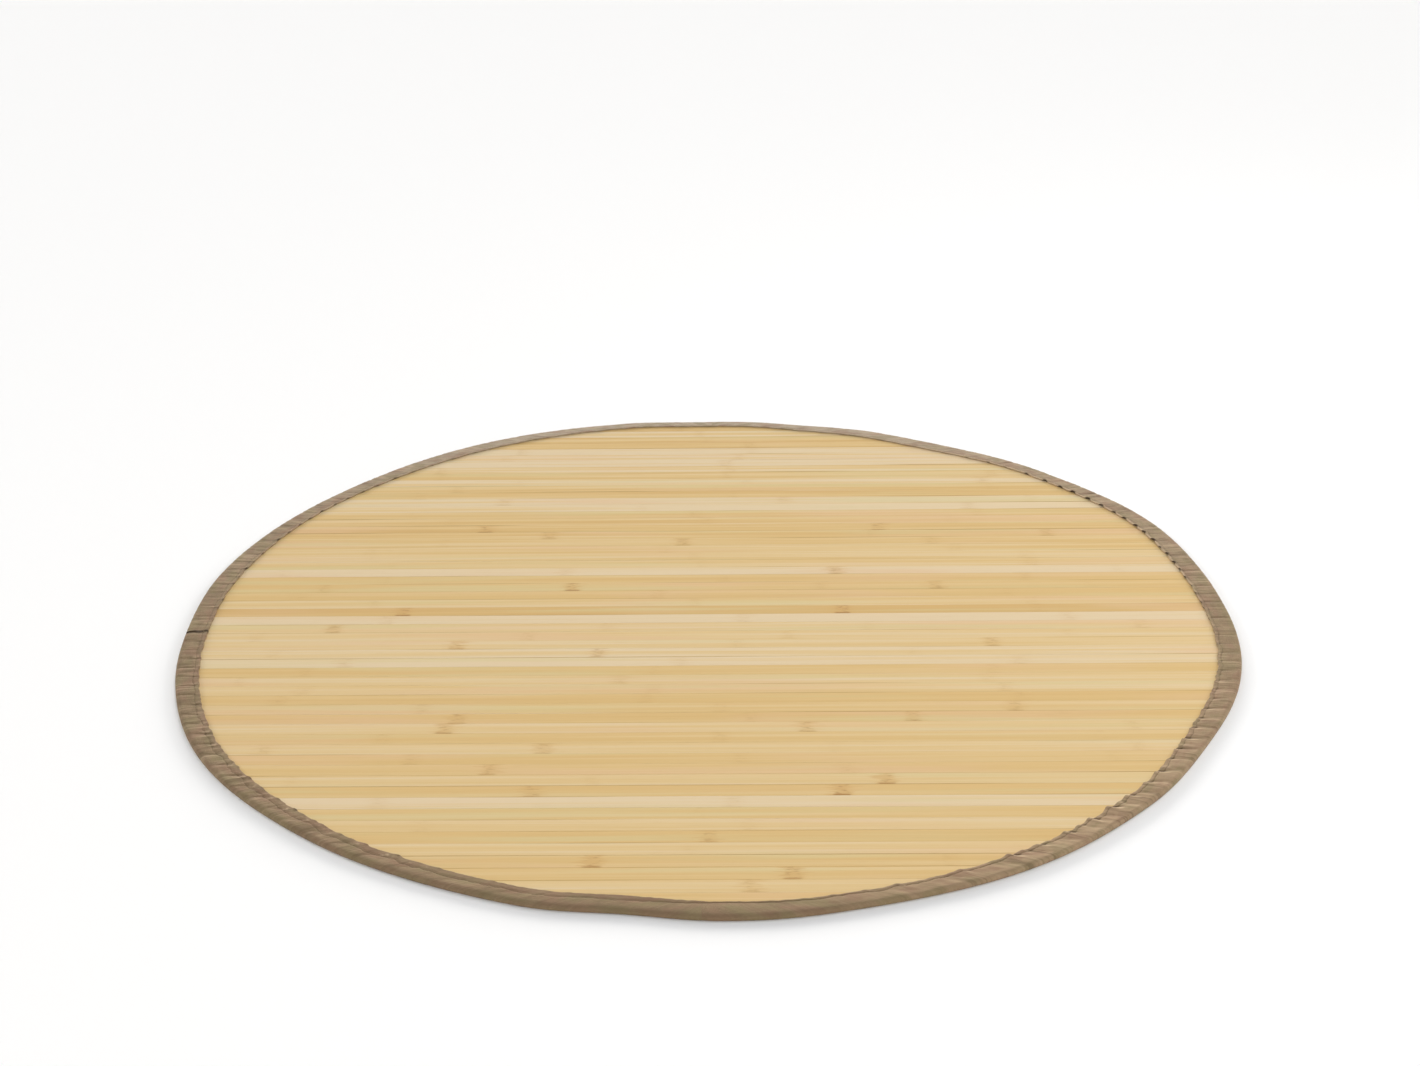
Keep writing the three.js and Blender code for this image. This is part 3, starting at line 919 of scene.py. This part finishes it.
# %% [markdown]
# ## The tape's finish
# The tape is a dull taupe weave that turns redder and greener in patches, and darker along its hem
# at the front. Threads of half a millimetre cross over and under, so its relief is the product of
# two waves laid out along and down the tape. At arm's length they melt into a soft mottle, which
# wider noises give. Fine wrinkles run across the tape where the slats end under it, drawn as
# streaks of painted shade and painted highlight. Creases are painted darker than their relief alone
# would make them, as painted shade, and ridges are painted paler, as painted highlight.

# %% Make the woven tape
TAPE_DARK = seen(112, 92, 66)
TAPE_PALE = seen(149, 127, 95)
TAPE_SHEEN = seen(196, 183, 164)
TAPE_WARM = seen(197, 167, 132)
TAPE_RED = seen(152, 118, 94)
TAPE_OLIVE = seen(144, 130, 92)
HEM_BROWN = seen(122, 93, 71)
NOSE_SHADE_BROWN = seen(124, 105, 80)
CREASE_SHADE_BROWN = seen(62, 46, 28)
RIDGE_HIGHLIGHT = seen(212, 184, 150)
THREAD = 0.55 * MM


def make_woven(name, lengths, dark, pale, thread, mottled=0.6, woven=0.06):
    """A plain weave between two tones, laid out on two lengths in metres."""
    material, shader, bench = new_material(
        name, Roughness=0.88, Specular_IOR_Level=0.2, Sheen_Weight=0.08, Sheen_Roughness=0.5)
    u, v = lengths(bench)
    per_thread = math.pi / thread
    over = bench.math("SINE", bench.times(u, per_thread))
    over_under = bench.times(over, bench.math("SINE", bench.times(v, per_thread)))
    slub = bench.noise(bench.times(u, 350), bench.times(v, 900), 0.0, 3.0)
    mottle = bench.noise(bench.times(u, 60), bench.times(v, 110), 4.0, 3.0)
    slubbed = bench.ramp(slub, 0.3, 0.7, 0.0, 0.4)
    shade = bench.math("ADD", bench.ramp(mottle, 0.3, 0.7, 0.0, mottled), slubbed)
    shade = bench.math("MULTIPLY_ADD", over_under, woven, shade)
    base = bench.mix(shade, dark, pale)
    relief = bench.math("ADD", over_under, bench.times(slub, 1.2))
    bump = bench.add("ShaderNodeBump", {"Strength": 0.5, "Distance": 0.1 * MM, "Height": relief})
    bench.link(bump, shader.inputs["Normal"])
    return material, shader, bench, base


def on_tape(bench):
    return bench.attribute("along"), bench.attribute("down")


woven, shader, bench, base = make_woven("woven_tape", on_tape, TAPE_DARK, TAPE_PALE, THREAD)
u, v = on_tape(bench)
wrinkle = bench.attribute("wrinkle")
# Painted sheen: the tape lighter and greyer at the back
base = bench.mix(bench.times(bench.attribute("back_sheen"), 0.75), base, TAPE_SHEEN)
base = bench.mix(bench.times(bench.attribute("warm"), 0.68), base, TAPE_WARM)
patches = bench.noise(bench.times(u, 45), bench.times(v, 75), 21.0)
base = bench.mix(bench.ramp(patches, 0.5, 0.64, 0.0, 0.5), base, TAPE_RED)
base = bench.mix(bench.ramp(patches, 0.36, 0.5, 0.5, 0.0), base, TAPE_OLIVE)
fine = bench.noise(bench.times(u, 420), bench.times(v, 30), 31.0, 3.0)
coarse = bench.noise(bench.times(u, 120), bench.times(v, 22), 37.0, 2.0)
folds = bench.math("ADD", bench.times(fine, 0.55), bench.times(coarse, 0.45))
# Painted shade and painted highlight of the fine wrinkles, drawn as streaks
fold_shade = bench.times(bench.ramp(folds, 0.36, 0.5, 0.55, 0.0), wrinkle)
fold_highlight = bench.times(bench.ramp(folds, 0.52, 0.68, 0.0, 0.4), wrinkle)
base = bench.mix(fold_shade, base, TAPE_DARK)
base = bench.mix(fold_highlight, base, RIDGE_HIGHLIGHT)
base = bench.mix(bench.times(bench.attribute("hem"), 0.55), base, HEM_BROWN)
# Painted shade on the nose
base = bench.mix(bench.times(bench.attribute("nose_shade"), 0.55), base, NOSE_SHADE_BROWN)
# Painted highlight on the ridges, and painted shade in the creases
base = bench.mix(bench.ramp(bench.attribute("ridge_highlight"), 0.1, 1.0, 0.0, 0.6), base, RIDGE_HIGHLIGHT)
base = bench.mix(bench.ramp(bench.attribute("crease"), 0.05, 1.0, 0.0, 0.85), base, CREASE_SHADE_BROWN)
bench.link(base, shader.inputs["Base Color"])
tape.data.materials.append(woven)

# %% [markdown]
# ## The stitches
# A line of lockstitches holds the hem. Each stitch is the same short thread, so it is modelled
# once, with only a few faces, and Geometry Nodes lays it out at even steps along the seam.

# %% Sew the hem
STITCH_STEP = 3.2 * MM
STITCH_LENGTH = 2.5 * MM
STITCH_WIDTH = 0.42 * MM
STITCH_FLATNESS = 0.8
STITCH_LIFT = 0.05


def lay_stitches():
    tree, given, bench = tree_with("stitch_row", {
        "Step": "Float", "Stitch Length": "Float", "Stitch Width": "Float", "Material": "Material"})
    seam = bench.geometry("MeshToCurve", {0: given["Geometry"]})
    seam = bench.geometry("SetCurveNormal", {0: seam}, mode="Z_UP")
    places = bench.geometry("CurveToPoints", {
        0: seam, "Length": given["Step"]}, mode="LENGTH")
    turned = places.node.outputs["Rotation"]
    thread = bench.geometry("MeshUVSphere", {"Segments": 6, "Rings": 4, "Radius": 0.5})
    flattened = bench.times(given["Stitch Width"], STITCH_FLATNESS)
    size = bench.combine(given["Stitch Width"], flattened, given["Stitch Length"])
    laid = bench.geometry("InstanceOnPoints", {
        "Points": places, "Instance": thread, "Rotation": turned, "Scale": size})
    laid = bench.geometry("SetShadeSmooth", {0: laid})
    finish_tree(bench, laid, given["Material"])
    return tree


thread_material, shader, bench = new_material("thread", Roughness=0.7)
fleck = bench.noise(*(bench.times(part, 900) for part in bench.place()))
bench.link(bench.mix(fleck, TAPE_DARK, TAPE_PALE), shader.inputs["Base Color"])

seam_radius = (edge - seam_at) * MM
seam_high = (on_band(seam_at)[0] + STITCH_LIFT) * MM
seam_points = np.hstack([
    seam_radius * np.cos(radians), seam_radius * np.sin(radians), seam_high])
seam_line = bpy.data.meshes.new("seam_line")
seam_line.from_pydata(seam_points.tolist(), [(i, i + 1) for i in range(STATIONS - 1)], [])
stitches = put("stitches", seam_line)
sewing = stitches.modifiers.new("sewing", "NODES")
sewing.node_group = lay_stitches()
set_inputs(sewing, step=STITCH_STEP, stitch_length=STITCH_LENGTH, stitch_width=STITCH_WIDTH,
           material=thread_material)
bake_down(stitches, "sewing")

# %% [markdown]
# ## The backing
# Underneath, the slats are glued to a plain cloth that ends just inside the tape. It is flat on the
# floor, so it is a thin disc with the rug's own outline, and its weave does the rest.

# %% Lay the backing
BACKING_SIDES = 360
BACKING_GAP = 0.3
BACKING_THREAD = 1.1 * MM
CLOTH_DARK = colour(182, 170, 149)
CLOTH_PALE = colour(204, 193, 172)

around_backing = np.arange(BACKING_SIDES) * 360 / BACKING_SIDES
backing_radius = edge_radius(around_backing) - (LEG[-1] + BACKING_GAP) * MM


def make_backing():
    """A disc with the rug's outline and two flat faces."""
    builder = bmesh.new()
    turns = np.radians(around_backing)
    rim = np.column_stack([np.cos(turns), np.sin(turns)]) * backing_radius[:, None]
    below, above = ([builder.verts.new((x, y, z)) for x, y in rim] for z in (0, BACKING_TOP))
    for i in range(BACKING_SIDES):
        j = (i + 1) % BACKING_SIDES
        builder.faces.new((below[i], below[j], above[j], above[i]))
    builder.faces.new(reversed(below))
    builder.faces.new(above)
    mesh = bpy.data.meshes.new("backing_cloth")
    builder.to_mesh(mesh)
    builder.free()
    return put("backing_cloth", mesh)


backing = make_backing()
linen, shader, bench, base = make_woven(
    "backing_weave", lambda bench: bench.place()[:2], CLOTH_DARK, CLOTH_PALE,
    BACKING_THREAD, mottled=0.2, woven=0.4)
bench.link(base, shader.inputs["Base Color"])
backing.data.materials.append(linen)
print("backing:", len(backing.data.polygons), "faces")

# %% [markdown]
# ## Floor and light
# The rug was photographed on white, and the white is as bright as it can be. A white world lights
# everything evenly. Three wide suns stand low behind the rug, at its left, middle and right, and
# give the soft shadow that falls towards the camera. A wide low sun in front lights the tape's
# nose, a high one gives the bamboo its little shine, and a soft box lights the right side.

# %% Set the floor and the light
FLOOR_HALF = 15
SKY_TINT = (0.92, 0.955, 1.0, 1)
SKY_STRENGTH = 0.432
SUN_TINT = (1.0, 0.98, 0.95)
# Each sun: its name, how many degrees it stands above the floor, where it stands as seen from
# above (90 is straight behind the rug), its strength and how wide it is
SUNS = [
    ("behind_right", 12, 50, 2.2, 18), ("behind", 12, 96, 2.35, 18),
    ("behind_left", 12, 142, 2.2, 18), ("front", 20, 272, 1.3, 60), ("above", 62, 40, 0.28, 30),
]

corners_at = [(-1, -1), (1, -1), (1, 1), (-1, 1)]
floor_mesh = bpy.data.meshes.new("floor")
floor_mesh.from_pydata([(x * FLOOR_HALF, y * FLOOR_HALF, 0) for x, y in corners_at], [], [range(4)])
floor = put("floor", floor_mesh)
white, _, _ = new_material("floor_white", Roughness=0.9, Base_Color=colour(246, 245, 244))
floor_mesh.materials.append(white)

world = bpy.data.worlds.new("studio")
bpy.context.scene.world = world
world.use_nodes = True
sky = world.node_tree.nodes["Background"].inputs
sky["Color"].default_value = SKY_TINT
sky["Strength"].default_value = SKY_STRENGTH

for name, above, around, energy, wide in SUNS:
    sun_data = bpy.data.lights.new(name, "SUN")
    sun_data.energy = energy
    sun_data.color = SUN_TINT
    sun_data.angle = math.radians(wide)
    sun = put(name, sun_data)
    climb, heading = math.radians(above), math.radians(around)
    towards = Vector((
        math.cos(climb) * math.cos(heading), math.cos(climb) * math.sin(heading), math.sin(climb)))
    sun.rotation_euler = towards.to_track_quat("Z", "Y").to_euler()
    sun.visible_glossy = name == "above"

box_data = bpy.data.lights.new("side_box", "AREA")
box_data.size = 1.0
box_data.energy = 5.0
box = put("side_box", box_data)
box.location = (1.5, 0.2, 1.0)
box.rotation_euler = box.location.to_track_quat("Z", "Y").to_euler()
bpy.context.scene.view_settings.view_transform = "Standard"
print("light:", len(SUNS), "suns and a soft box, sky", SKY_STRENGTH)

# %% [markdown]
# ## The pieces on the rug's body
# Every piece rides the rug's one body and stands for the solids that it dresses.

for piece in (slats, tape, stitches, backing):
    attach(piece, "root")
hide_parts(*SLATS)
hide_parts("binding")
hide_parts("backing")
